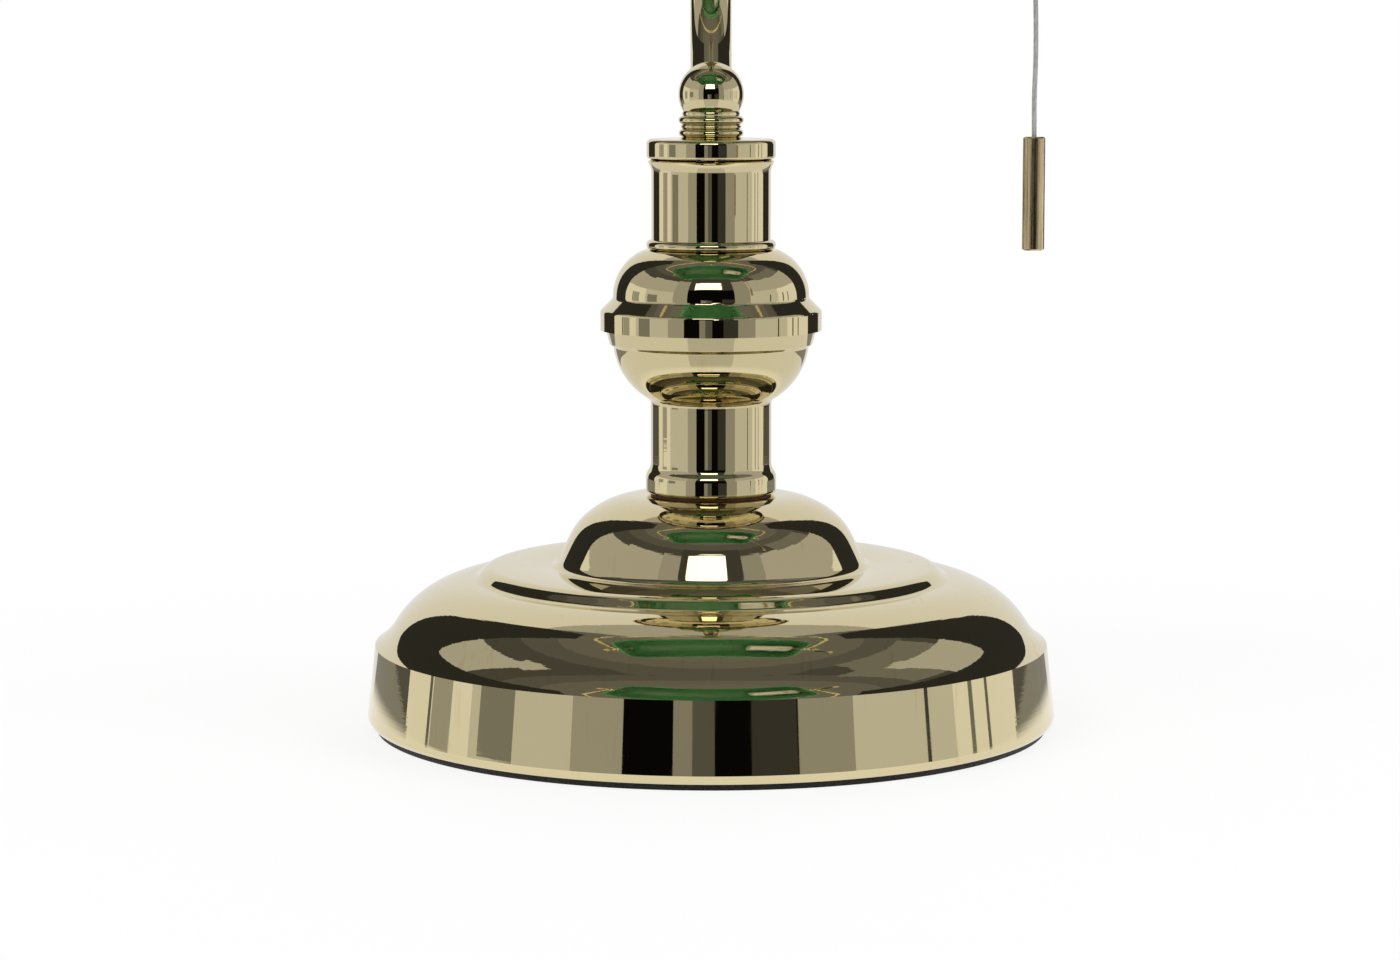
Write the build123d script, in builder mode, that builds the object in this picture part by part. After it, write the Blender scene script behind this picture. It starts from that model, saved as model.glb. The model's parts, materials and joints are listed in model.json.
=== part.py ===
import os
from math import cos, radians, sin, sqrt, tan

from build123d import *

os.makedirs("parts", exist_ok=True)

# Clearances, radial unless a comment says otherwise
overrun = 2.0
slip = 0.05
run_fit = 0.06
air = 0.3

# Spun base shell, its felt, plate and weight
base_diameter = 200.0
base_height = 67.4
base_wall = 1.0
rim_height = 24.3
rim_lean = 6.7
rim_roll = 2.8
shoulder_curve = 17.7
shoulder_share = (0.9204, 0.1323)
dome_shares = [(0.80, 0.3805), (0.60, 0.529), (0.465, 0.622), (0.438, 0.6775), (0.35, 0.9165)]
seat_margin = 1.0
felt_thickness = 1.3
felt_overhang = 0.3
plate_thickness = 1.2
plate_gap = 0.4
weight_gap = 14.0
weight_edge = 10.0
weight_slope = 8.0
boss_diameter = 32.0
boss_foot_diameter = 60.0
nut_pocket_diameter = 30.0
nut_pocket_depth = 9.0
cable_channel = 9.0
screw_circle = 120.0
screw_count = 3
screw_diameter = 4.0
screw_head_diameter = 7.6
screw_length = 8.0

# Bush for the mains lead in the back of the rim
bush_height = 12.5
bush_bore = 6.8
bush_barrel_diameter = 10.0
bush_flange_diameter = 14.0
bush_flange = 2.2
bush_reach = 6.0

# Threaded tube that pulls the column together
tube_diameter = 10.0
tube_bore = 7.8
tube_clearance = 0.2
nut_width = 17.0
nut_height = 5.0
washer_diameter = 22.0
washer_thickness = 1.5
tube_tail = 1.0

# Turned and spun column, from the base upwards
sheet = 0.8
seat_washer_diameter = 35.0
seat_washer_thickness = 0.5
foot_diameter = 37.9
foot_roll = 1.2
foot_band = 4.4
foot_taper = 4.4
lower_sleeve_diameter = 35.0
lower_sleeve_height = 25.6
bowl_neck = 0.3
bowl_flare = 2.0
bowl_flare_turn = 66.0
bowl_diameter = 57.0
bowl_depth = 15.5
bowl_rim_diameter = 60.2
bowl_rim_rise = 4.2
bowl_height = 28.0
ring_diameter = 64.0
ring_height = 6.1
ring_drop = 21.8
ring_round = 1.0
ring_slope = 45.0
ring_cove = 1.2
crown_diameter = 56.7
crown_collar_diameter = 38.6
crown_height = 16.9
upper_sleeve_diameter = 34.4
upper_sleeve_height = 25.4
bead_diameter = 37.4
bead_height = 3.0
sleeve_flare = 1.1
sleeve_flare_height = 3.4
cap_diameter = 37.2
cap_height = 5.7
cap_lip = 2.4
cap_round = 1.4
cap_roll = 0.9

# Ribbed neck and the ball that carries the arm
neck_diameter = 18.8
neck_height = 7.8
neck_groove_diameter = 16.4
neck_bead_shares = [(0.08, 0.36, 0.99), (0.36, 0.53, 0.93), (0.53, 0.84, 1.0), (0.84, 1.0, 0.89)]
ball_diameter = 18.8
ball_seat_diameter = 16.1

# Bent arm, in the plane through the column that faces the user
arm_diameter = 12.0
arm_wall = 1.0
arm_lean = 50.0
arm_return = 45.0
arm_straight = 16.0
arm_bend = 36.0
arm_riser = 17.0
arm_inset = 4.0

# Hub and finial on top of the arm, and the bow that comes forward from it to both ends of the shade
hub_diameter = 22.0
hub_collar_diameter = 17.0
hub_collar_length = 14.0
finial_stem_diameter = 6.0
finial_stem = 4.0
finial_diameter = 11.0
finial_height = 17.0
finial_neck_share = 0.5
finial_shares = [0.1, 0.24, 0.8]
bow_diameter = 8.0
bow_wall = 1.0
bow_bend = 22.0
bow_reach = 92.0
bow_slope = 16.0

# Glass shade
shade_length = 222.0
shade_mouth_width = 122.0
shade_flare = 5.0
shade_skirt = 22.0
shade_wall = 3.2
shade_corner = 28.0
shade_lip_round = 1.2
pivot_drop = 38.0

# Pivot fittings at the two ends of the shade
pivot_diameter = 10.0
ferrule_diameter = 16.0
ferrule_flange_diameter = 25.0
ferrule_flange = 2.0
ferrule_nut_diameter = 24.0
ferrule_nut = 3.0
friction_washer_diameter = 16.0
friction_washer = 1.5
end_gap = 0.1
end_ball_diameter = 18.0
end_collar_diameter = 16.0
end_collar_reach = 14.0
pivot_tip = 1.0
bow_seat = 0.8
knob_diameter = 17.0
knob_length = 9.6
knob_neck_diameter = 12.0
knob_neck_length = 2.0
knob_round = 1.6
flute_diameter = 2.2
flute_count = 18
knob_shank = 4.0

# Lampholder with its pull switch, on the tilt axis
nipple_bore = 7.2
nipple_collar_diameter = 13.0
nipple_collar = 1.0
nipple_thread = 4.5
nipple_nut_width = 14.0
nipple_nut_height = 2.8
holder_gap = 0.3
holder_cap_diameter = 40.0
holder_cap_length = 28.0
holder_cap_dome = 7.0
holder_boss_diameter = 26.0
holder_shell_length = 34.0
holder_shell_insert = 5.5
holder_mouth_flare = 1.2
core_floor = 8.0
core_wall = 3.2
core_recess = 2.5
screw_shell_bore = 26.8
screw_shell_wall = 0.5
screw_shell_length = 21.0
screw_shell_opening = 16.0
contact_diameter = 8.0
contact_height = 3.0
switch_length = 15.0

# Pull cord, its nozzle, plunger and weight
cord_offset = 84.7
cord_diameter = 1.3
pull_travel = 7.0
plunger_diameter = 6.0
plunger_length = 9.0
plunger_rise = 8.0
nozzle_stem_diameter = 5.2
nozzle_flange_diameter = 7.6
nozzle_length = 6.0
nozzle_bore = 2.8
nozzle_mouth = 1.0
pull_diameter = 5.9
pull_length = 29.8
pull_top = 173.2
pull_edge = 0.35
cord_grip = 6.0
cord_shares = [
    (0.0, 0.0),
    (0.04, 0.15),
    (-0.1, 0.33),
    (0.0, 0.5),
    (-0.25, 0.61),
    (-0.28, 0.69),
    (0.1, 0.77),
    (0.18, 0.845),
    (-0.1, 0.905),
    (0.0, 0.955),
    (0.0, 1.0),
]
bend_share = 0.45

# Levels of the column and places of the head, worked out from the sizes above
base_radius = base_diameter / 2
rim_run = rim_height - felt_thickness - rim_roll * (1 + sin(radians(rim_lean)))
rim_top_radius = base_radius - rim_roll * (1 - cos(radians(rim_lean))) - rim_run * tan(radians(rim_lean))
tube_hole = tube_diameter / 2 + tube_clearance
plate_top = felt_thickness + plate_thickness
weight_diameter = base_diameter - 2 * weight_gap
boss_top = base_height - base_wall
pocket_top = plate_top + nut_pocket_depth
washer_bottom = pocket_top - washer_thickness
nut_bottom = washer_bottom - nut_height
foot_level = base_height + seat_washer_thickness
bowl_level = foot_level + lower_sleeve_height
ring_level = bowl_level + ring_drop
ring_top = ring_level + ring_height
crown_level = ring_top + crown_height
cap_level = crown_level + upper_sleeve_height + sheet
neck_level = cap_level + cap_height
neck_top = neck_level + neck_height
ball_level = neck_top + sqrt((ball_diameter / 2) ** 2 - (ball_seat_diameter / 2) ** 2)
arm_dir = Vector(0, sin(radians(arm_lean)), cos(radians(arm_lean)))
arm_y = 0
arm_back = arm_straight * sin(radians(arm_lean)) + arm_bend * (cos(radians(arm_return)) - cos(radians(arm_lean)))
arm_upper_bend = (arm_back - arm_y) / (1 - cos(radians(arm_return)))
arm_knee = arm_straight * cos(radians(arm_lean)) + arm_bend * (sin(radians(arm_lean)) + sin(radians(arm_return)))
arm_top = ball_level + arm_knee + arm_upper_bend * sin(radians(arm_return)) + arm_riser
hub_level = arm_top + bow_diameter / 2 + air
bow_dir = Vector(0, cos(radians(bow_slope)), -sin(radians(bow_slope)))
pivot_y = arm_y - bow_reach * cos(radians(bow_slope))
pivot_level = hub_level + bow_reach * sin(radians(bow_slope))
shade_arch_diameter = shade_mouth_width - 2 * shade_flare
pivot_height = shade_skirt + shade_arch_diameter / 2 - pivot_drop
mouth_level = pivot_level - pivot_height
shade_end = shade_length / 2
end_face = shade_end + ferrule_flange + friction_washer + end_gap
leg_x = end_face + end_collar_reach
bow_end = pivot_diameter / 2 + bow_seat
tilt_axis = Axis((0, pivot_y, pivot_level), (1, 0, 0))
ferrule_inner = shade_end - shade_wall - ferrule_nut
holder_rear = ferrule_inner - holder_gap - nipple_collar
cap_front = holder_rear - holder_cap_length
shell_rear = cap_front + holder_shell_insert
shell_front = shell_rear - holder_shell_length
shell_radius = holder_cap_diameter / 2 - sheet - slip
core_front = shell_front + core_recess
shell_floor = shell_rear - core_floor
contact_face = shell_floor - screw_shell_wall
holder_bottom = pivot_level - holder_cap_diameter / 2
nozzle_bottom = holder_bottom - nozzle_length
plunger_top = pivot_level + plunger_rise


def keep(piece, name):
    piece.part.label = name
    export_step(piece.part, f"parts/{name}.step")


def out_plane(side):
    return Plane(origin=(0, pivot_y, pivot_level), x_dir=(side, 0, 0), z_dir=(0, -side, 0))


def end_plane(side, reach):
    return Plane(origin=(side * reach, pivot_y, pivot_level), z_dir=(side, 0, 0))


def base_point(share):
    return (share[0] * base_radius, rim_height + share[1] * (base_height - rim_height))


def rim_radius(level):
    return rim_top_radius + (rim_height - level) * tan(radians(rim_lean))


# Felt pad under the base
with BuildPart() as felt_pad:
    with BuildSketch():
        Circle(base_radius - rim_roll + felt_overhang)
    extrude(amount=felt_thickness)
keep(felt_pad, "felt_pad")

# Steel plate that closes the base, countersunk for its screws
with BuildPart() as bottom_plate:
    with BuildSketch(Plane.XY.offset(felt_thickness)):
        Circle(base_radius - rim_roll - plate_gap)
    extrude(amount=plate_thickness)
    with Locations((0, 0, felt_thickness)):
        with PolarLocations(screw_circle / 2, screw_count):
            Cone(
                screw_head_diameter / 2 + slip,
                screw_diameter / 2 + slip,
                plate_thickness,
                align=(Align.CENTER, Align.CENTER, Align.MIN),
                mode=Mode.SUBTRACT,
            )
keep(bottom_plate, "bottom_plate")

with BuildPart() as plate_screws:
    with Locations((0, 0, felt_thickness)):
        with PolarLocations(screw_circle / 2, screw_count):
            Cone(
                screw_head_diameter / 2,
                screw_diameter / 2,
                plate_thickness,
                align=(Align.CENTER, Align.CENTER, Align.MIN),
            )
            Cylinder(
                screw_diameter / 2,
                plate_thickness + screw_length,
                align=(Align.CENTER, Align.CENTER, Align.MIN),
            )
keep(plate_screws, "plate_screws")

# Spun brass shell: rolled edge, leaning rim, shoulder, low dome and the small dome under the column
with BuildPart() as base_shell:
    with BuildSketch(Plane.XZ):
        with BuildLine():
            roll = JernArc((base_radius - rim_roll, felt_thickness), (1, 0), rim_roll, 90 + rim_lean)
            rim = Line(roll @ 1, (rim_top_radius, rim_height))
            curve = RadiusArc(rim @ 1, base_point(shoulder_share), shoulder_curve)
            for dome_share in dome_shares:
                curve = TangentArc(curve @ 1, base_point(dome_share), tangent=curve % 1)
            crest = TangentArc(curve @ 1, (foot_diameter / 2 + seat_margin, base_height), tangent=curve % 1)
            Line(crest @ 1, (tube_hole, base_height))
            offset(amount=base_wall, side=Side.LEFT)
        make_face()
    revolve(axis=Axis.Z)
    with BuildSketch(Plane(origin=(0, rim_radius(bush_height) - bush_reach, bush_height), z_dir=(0, 1, 0))):
        Circle(bush_barrel_diameter / 2 + slip)
    extrude(amount=bush_reach + overrun, mode=Mode.SUBTRACT)
keep(base_shell, "base_shell")

# Cast weight with the boss that holds up the column's seat, a pocket for the nut and a way in for the lead
with BuildPart() as base_weight:
    with BuildSketch(Plane.XZ):
        with BuildLine():
            Polyline(
                (tube_hole, plate_top),
                (weight_diameter / 2, plate_top),
                (weight_diameter / 2, plate_top + weight_edge),
                (boss_foot_diameter / 2, plate_top + weight_edge + weight_slope),
                (boss_diameter / 2, plate_top + weight_edge + 2 * weight_slope),
                (boss_diameter / 2, boss_top),
                (tube_hole, boss_top),
                close=True,
            )
        make_face()
    revolve(axis=Axis.Z)
    with BuildSketch(Plane.XY.offset(plate_top)):
        Circle(nut_pocket_diameter / 2)
    extrude(amount=nut_pocket_depth, mode=Mode.SUBTRACT)
    with BuildSketch(Plane.XY.offset(plate_top)):
        with Locations((0, weight_diameter / 4)):
            Rectangle(cable_channel, weight_diameter / 2)
    extrude(amount=nut_pocket_depth, mode=Mode.SUBTRACT)
    with Locations((0, 0, plate_top)):
        with PolarLocations(screw_circle / 2, screw_count):
            Cylinder(
                screw_diameter / 2 + slip,
                screw_length + slip,
                align=(Align.CENTER, Align.CENTER, Align.MIN),
                mode=Mode.SUBTRACT,
            )
keep(base_weight, "base_weight")

# Bush through the back of the rim, its flange cut to lie on the leaning wall
bush_seat = rim_radius(bush_height)
bush_low = bush_height - bush_flange_diameter / 2 - overrun
bush_high = bush_height + bush_flange_diameter / 2 + overrun
with BuildPart() as cable_bush:
    with BuildSketch(Plane(origin=(0, bush_seat - bush_flange, bush_height), z_dir=(0, 1, 0))):
        Circle(bush_flange_diameter / 2)
    extrude(amount=2 * bush_flange)
    fillet(cable_bush.edges().group_by(Axis.Y)[-1], bush_flange / 3)
    with BuildSketch(Plane.XZ):
        with BuildLine():
            Polyline(
                (0, bush_low),
                (rim_radius(bush_low) + slip, bush_low),
                (rim_radius(bush_high) + slip, bush_high),
                (0, bush_high),
                close=True,
            )
        make_face()
    revolve(axis=Axis.Z, mode=Mode.SUBTRACT)
    with BuildSketch(Plane(origin=(0, bush_seat - bush_reach, bush_height), z_dir=(0, 1, 0))):
        Circle(bush_barrel_diameter / 2)
    extrude(amount=bush_reach + bush_flange / 2)
    with BuildSketch(Plane(origin=(0, bush_seat - bush_reach, bush_height), z_dir=(0, 1, 0))):
        Circle(bush_bore / 2)
    extrude(amount=bush_reach + bush_flange + overrun, mode=Mode.SUBTRACT)
keep(cable_bush, "cable_bush")

# Nut, washer and the threaded tube up the middle
with BuildPart() as base_nut:
    with BuildSketch(Plane.XY.offset(nut_bottom)):
        RegularPolygon(nut_width / 2, 6, major_radius=False)
        Circle(tube_diameter / 2 + slip, mode=Mode.SUBTRACT)
    extrude(amount=nut_height)
keep(base_nut, "base_nut")

with BuildPart() as base_washer:
    with BuildSketch(Plane.XY.offset(washer_bottom)):
        Circle(washer_diameter / 2)
        Circle(tube_hole, mode=Mode.SUBTRACT)
    extrude(amount=washer_thickness)
keep(base_washer, "base_washer")

with BuildPart() as through_tube:
    with BuildSketch(Plane.XY.offset(nut_bottom - tube_tail)):
        Circle(tube_diameter / 2)
        Circle(tube_bore / 2, mode=Mode.SUBTRACT)
    extrude(amount=ball_level - nut_bottom + tube_tail - arm_inset / 2)
keep(through_tube, "through_tube")

# Column: washer, foot with sleeve, bowl, crown with its ring, upper sleeve and cap, all on the tube
with BuildPart() as seat_washer:
    with BuildSketch(Plane.XY.offset(base_height)):
        Circle(seat_washer_diameter / 2)
        Circle(tube_hole, mode=Mode.SUBTRACT)
    extrude(amount=seat_washer_thickness)
keep(seat_washer, "seat_washer")

with BuildPart() as lower_sleeve:
    with BuildSketch(Plane.XZ):
        with BuildLine():
            floor = Line((tube_hole, foot_level), (foot_diameter / 2 - foot_roll, foot_level))
            roll = JernArc(floor @ 1, floor % 1, foot_roll, 90)
            band = Line(roll @ 1, (foot_diameter / 2, foot_level + foot_band))
            hip_radius = (foot_diameter + lower_sleeve_diameter) / 4
            hip = TangentArc(band @ 1, (hip_radius, foot_level + foot_band + foot_taper / 2), tangent=band % 1)
            waist_end = (lower_sleeve_diameter / 2, foot_level + foot_band + foot_taper)
            waist = TangentArc(hip @ 1, waist_end, tangent=hip % 1)
            Line(waist @ 1, (lower_sleeve_diameter / 2, bowl_level))
            offset(amount=sheet, side=Side.LEFT)
        make_face()
    revolve(axis=Axis.Z)
keep(lower_sleeve, "lower_sleeve")

with BuildPart() as lower_bowl:
    with BuildSketch(Plane.XZ):
        with BuildLine():
            floor = Line((tube_hole, bowl_level), (lower_sleeve_diameter / 2, bowl_level))
            throat = Line(floor @ 1, (lower_sleeve_diameter / 2, bowl_level + bowl_neck))
            flare = JernArc(throat @ 1, throat % 1, bowl_flare, -bowl_flare_turn)
            belly = TangentArc(flare @ 1, (bowl_diameter / 2, bowl_level + bowl_depth), tangent=flare % 1)
            rim_start = (bowl_rim_diameter / 2, bowl_level + bowl_depth + bowl_rim_rise)
            TangentArc(rim_start, belly @ 1, tangent=(0, -1))
            Line(rim_start, (bowl_rim_diameter / 2, bowl_level + bowl_height))
            offset(amount=sheet, side=Side.LEFT)
        make_face()
    revolve(axis=Axis.Z)
keep(lower_bowl, "lower_bowl")

slope_drop = 1 - cos(radians(ring_slope))
slope_reach = (ring_diameter - crown_diameter) / 2 - (ring_round + ring_cove) * slope_drop
with BuildPart() as crown:
    with BuildSketch(Plane.XZ):
        with BuildLine():
            band = Line((ring_diameter / 2, ring_level), (ring_diameter / 2, ring_top - ring_round))
            shoulder = JernArc(band @ 1, band % 1, ring_round, ring_slope)
            slope = PolarLine(shoulder @ 1, slope_reach / sin(radians(ring_slope)), 90 + ring_slope)
            cove = JernArc(slope @ 1, slope % 1, ring_cove, -ring_slope)
            dome = TangentArc(cove @ 1, (crown_collar_diameter / 2, crown_level), tangent=cove % 1)
            Line(dome @ 1, (tube_hole, crown_level))
            offset(amount=sheet, side=Side.LEFT)
        make_face()
    revolve(axis=Axis.Z)
keep(crown, "crown")

with BuildPart() as upper_sleeve:
    with BuildSketch(Plane.XZ):
        with BuildLine():
            floor = Line((tube_hole, crown_level), (upper_sleeve_diameter / 2, crown_level))
            bead = ThreePointArc(
                floor @ 1,
                (bead_diameter / 2, crown_level + bead_height / 2),
                (upper_sleeve_diameter / 2, crown_level + bead_height),
            )
            flare_level = crown_level + upper_sleeve_height - sleeve_flare_height
            shaft = Line(bead @ 1, (upper_sleeve_diameter / 2, flare_level))
            flare_end = (upper_sleeve_diameter / 2 + sleeve_flare, crown_level + upper_sleeve_height)
            TangentArc(shaft @ 1, flare_end, tangent=shaft % 1)
            offset(amount=sheet, side=Side.LEFT)
        make_face()
    revolve(axis=Axis.Z)
keep(upper_sleeve, "upper_sleeve")

with BuildPart() as top_cap:
    with BuildSketch(Plane.XZ):
        with BuildLine():
            lip = Line((cap_diameter / 2 - cap_lip, cap_level), (cap_diameter / 2 - cap_roll, cap_level))
            roll = JernArc(lip @ 1, lip % 1, cap_roll, 90)
            band = Line(roll @ 1, (cap_diameter / 2, neck_level - cap_round))
            shoulder = JernArc(band @ 1, band % 1, cap_round, 90)
            Line(shoulder @ 1, (tube_hole, neck_level))
            offset(amount=sheet, side=Side.LEFT)
        make_face()
    revolve(axis=Axis.Z)
keep(top_cap, "top_cap")

# Ribbed neck, a row of turned beads
with BuildPart() as neck:
    with BuildSketch(Plane.XZ):
        with BuildLine():
            groove = neck_groove_diameter / 2
            edge = Line((tube_hole, neck_level), (neck_diameter / 2, neck_level))
            first_share = neck_bead_shares[0][0]
            edge = Line(edge @ 1, (groove, neck_level + first_share * neck_height))
            for low_share, high_share, swell_share in neck_bead_shares:
                edge = ThreePointArc(
                    edge @ 1,
                    (swell_share * neck_diameter / 2, neck_level + (low_share + high_share) / 2 * neck_height),
                    (groove, neck_level + high_share * neck_height),
                )
            inward = Line(edge @ 1, (tube_hole, neck_top))
            Line(inward @ 1, (tube_hole, neck_level))
        make_face()
    revolve(axis=Axis.Z)
keep(neck, "neck")

# Ball with a threaded hole below and the arm's socket behind
ball_centre = Vector(0, 0, ball_level)
arm_plane = Plane(origin=ball_centre + arm_dir * arm_inset, z_dir=arm_dir)
with BuildPart() as arm_ball:
    with Locations((0, 0, ball_level)):
        Sphere(ball_diameter / 2)
    split(bisect_by=Plane.XY.offset(neck_top), keep=Keep.TOP)
    with BuildSketch(Plane.XY.offset(neck_top)):
        Circle(tube_diameter / 2 + slip)
    extrude(amount=ball_level - neck_top + arm_inset / 2, mode=Mode.SUBTRACT)
    with BuildSketch(arm_plane):
        Circle(arm_diameter / 2 + slip)
    extrude(amount=ball_diameter, mode=Mode.SUBTRACT)
keep(arm_ball, "arm_ball")

# Arm: one tube, leaning back out of the ball and bent forward again to a swan neck under the hub
with BuildPart() as arm_tube:
    with BuildLine(Plane.YZ) as arm_path:
        start = (arm_inset * sin(radians(arm_lean)), ball_level + arm_inset * cos(radians(arm_lean)))
        straight = PolarLine(start, arm_straight - arm_inset, 90 - arm_lean)
        bend = JernArc(straight @ 1, straight % 1, arm_bend, arm_lean + arm_return)
        upper_bend = JernArc(bend @ 1, bend % 1, arm_upper_bend, -arm_return)
        Line(upper_bend @ 1, (arm_y, arm_top))
    with BuildSketch(arm_plane):
        Circle(arm_diameter / 2)
        Circle(arm_diameter / 2 - arm_wall, mode=Mode.SUBTRACT)
    sweep(path=arm_path.line)
keep(arm_tube, "arm_tube")

# Hub that joins the arm to the bow, with a finial screwed into its top
finial_level = hub_level + hub_diameter / 2 - finial_shares[0] * finial_height
with BuildPart() as hub:
    with Locations((0, arm_y, hub_level)):
        Sphere(hub_diameter / 2)
    with BuildSketch(Plane(origin=(0, arm_y, hub_level), z_dir=(0, 0, -1))):
        Circle(hub_collar_diameter / 2)
    extrude(amount=hub_collar_length)
    split(bisect_by=Plane.XY.offset(finial_level), keep=Keep.BOTTOM)
    with BuildSketch(Plane(origin=(0, arm_y, arm_top), z_dir=(0, 0, -1))):
        Circle(arm_diameter / 2 + slip)
    extrude(amount=hub_collar_length, mode=Mode.SUBTRACT)
    with BuildSketch(Plane(origin=(-hub_diameter, arm_y, hub_level), z_dir=(1, 0, 0))):
        Circle(bow_diameter / 2 + slip)
    extrude(amount=2 * hub_diameter, mode=Mode.SUBTRACT)
    with BuildSketch(Plane(origin=(0, arm_y, finial_level), z_dir=(0, 0, -1))):
        Circle(finial_stem_diameter / 2 + slip)
    extrude(amount=finial_stem + slip, mode=Mode.SUBTRACT)
keep(hub, "hub")

with BuildPart() as finial:
    with BuildSketch(Plane(origin=(0, arm_y, finial_level), x_dir=(1, 0, 0), z_dir=(0, -1, 0))):
        with BuildLine():
            stem = Polyline(
                (0, -finial_stem),
                (finial_stem_diameter / 2, -finial_stem),
                (finial_stem_diameter / 2, 0),
                (finial_diameter / 2, 0),
            )
            flange_top = (finial_diameter / 2, finial_shares[0] * finial_height)
            flange = Line(stem @ 1, flange_top)
            waist_point = (finial_neck_share * finial_diameter / 2, finial_shares[1] * finial_height)
            waist = Line(flange @ 1, waist_point)
            acorn_end = (finial_neck_share * finial_diameter / 2, finial_shares[2] * finial_height)
            acorn_mid = (finial_diameter / 2, (finial_shares[1] + finial_shares[2]) / 2 * finial_height)
            acorn = ThreePointArc(waist @ 1, acorn_mid, acorn_end)
            tip = Line(acorn @ 1, (0, finial_height))
            Line(tip @ 1, (0, -finial_stem))
        make_face()
    revolve(axis=Axis((0, arm_y, finial_level), (0, 0, 1)))
keep(finial, "finial")

# Bow: one bent tube behind the shade, coming forward to the tilt axis at both ends
bow_plane = Plane(
    origin=(0, pivot_y, pivot_level),
    x_dir=(1, 0, 0),
    z_dir=(0, sin(radians(bow_slope)), cos(radians(bow_slope))),
)
with BuildPart() as bow_tube:
    with BuildLine(bow_plane) as bow_path:
        FilletPolyline(
            (-leg_x, bow_end),
            (-leg_x, bow_reach),
            (leg_x, bow_reach),
            (leg_x, bow_end),
            radius=bow_bend,
        )
    with BuildSketch(Plane(origin=bow_path.line @ 0, z_dir=bow_path.line % 0)):
        Circle(bow_diameter / 2)
        Circle(bow_diameter / 2 - bow_wall, mode=Mode.SUBTRACT)
    sweep(path=bow_path.line)
keep(bow_tube, "bow_tube")

# Pivot fittings, alike at both ends
for side, end_name in ((-1, "left"), (1, "right")):
    ball_radius = end_ball_diameter / 2
    collar_radius = end_collar_diameter / 2
    bore_radius = pivot_diameter / 2 + run_fit
    with BuildPart() as end_ball:
        with BuildSketch(out_plane(side)):
            with BuildLine():
                collar = Polyline(
                    (end_face, bore_radius),
                    (end_face, collar_radius),
                    (leg_x - sqrt(ball_radius**2 - collar_radius**2), collar_radius),
                )
                ball_end = (leg_x + sqrt(ball_radius**2 - bore_radius**2), bore_radius)
                round_side = ThreePointArc(collar @ 1, (leg_x, ball_radius), ball_end)
                Line(round_side @ 1, (end_face, bore_radius))
            make_face()
        revolve(axis=tilt_axis)
        ball_middle = Vector(side * leg_x, pivot_y, pivot_level)
        with BuildSketch(Plane(origin=ball_middle + bow_dir * (bow_end - slip), z_dir=bow_dir)):
            Circle(bow_diameter / 2 + slip)
        extrude(amount=end_ball_diameter, mode=Mode.SUBTRACT)
        with BuildSketch(Plane(origin=ball_middle, z_dir=bow_dir)):
            Circle(bow_diameter / 2 - bow_wall)
        extrude(amount=end_ball_diameter, mode=Mode.SUBTRACT)
    keep(end_ball, f"end_ball_{end_name}")

    with BuildPart() as washer:
        with BuildSketch(end_plane(side, end_face - friction_washer)):
            Circle(friction_washer_diameter / 2)
            Circle(pivot_diameter / 2 + tube_clearance, mode=Mode.SUBTRACT)
        extrude(amount=friction_washer)
    keep(washer, f"friction_washer_{end_name}")

    with BuildPart() as ferrule:
        with BuildSketch(end_plane(side, shade_end)):
            Circle(ferrule_flange_diameter / 2)
        extrude(amount=ferrule_flange)
        fillet(ferrule.edges().group_by(Axis.X)[0 if side < 0 else -1], ferrule_flange / 3)
        with BuildSketch(end_plane(side, ferrule_inner)):
            Circle(ferrule_diameter / 2)
        extrude(amount=shade_end - ferrule_inner)
        with BuildSketch(end_plane(side, ferrule_inner)):
            Circle(pivot_diameter / 2 + run_fit)
        extrude(amount=shade_end - ferrule_inner + ferrule_flange, mode=Mode.SUBTRACT)
    keep(ferrule, f"ferrule_{end_name}")

    with BuildPart() as ring_nut:
        with BuildSketch(end_plane(side, ferrule_inner)):
            RegularPolygon(ferrule_nut_diameter / 2, 6)
            Circle(ferrule_diameter / 2 + slip, mode=Mode.SUBTRACT)
        extrude(amount=ferrule_nut)
    keep(ring_nut, f"ferrule_nut_{end_name}")

    knob_face = leg_x + sqrt(ball_radius**2 - bore_radius**2) + air
    shank_start = ferrule_inner + pivot_tip if side < 0 else leg_x + knob_shank
    with BuildPart() as thumb_screw:
        with BuildSketch(out_plane(side)):
            with BuildLine():
                body = Polyline(
                    (shank_start, 0),
                    (shank_start, pivot_diameter / 2),
                    (knob_face, pivot_diameter / 2),
                    (knob_face, knob_neck_diameter / 2),
                    (knob_face + knob_neck_length, knob_neck_diameter / 2),
                    (knob_face + knob_neck_length, knob_diameter / 2),
                    (knob_face + knob_length, knob_diameter / 2),
                    (knob_face + knob_length, 0),
                    close=True,
                )
            make_face()
        revolve(axis=tilt_axis)
        fillet(thumb_screw.edges().group_by(Axis.X)[0 if side < 0 else -1], knob_round)
        with BuildSketch(end_plane(side, knob_face + knob_neck_length)):
            with PolarLocations(knob_diameter / 2, flute_count):
                Circle(flute_diameter / 2)
        extrude(amount=knob_length, mode=Mode.SUBTRACT)
    keep(thumb_screw, f"tilt_knob_{end_name}")


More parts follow.
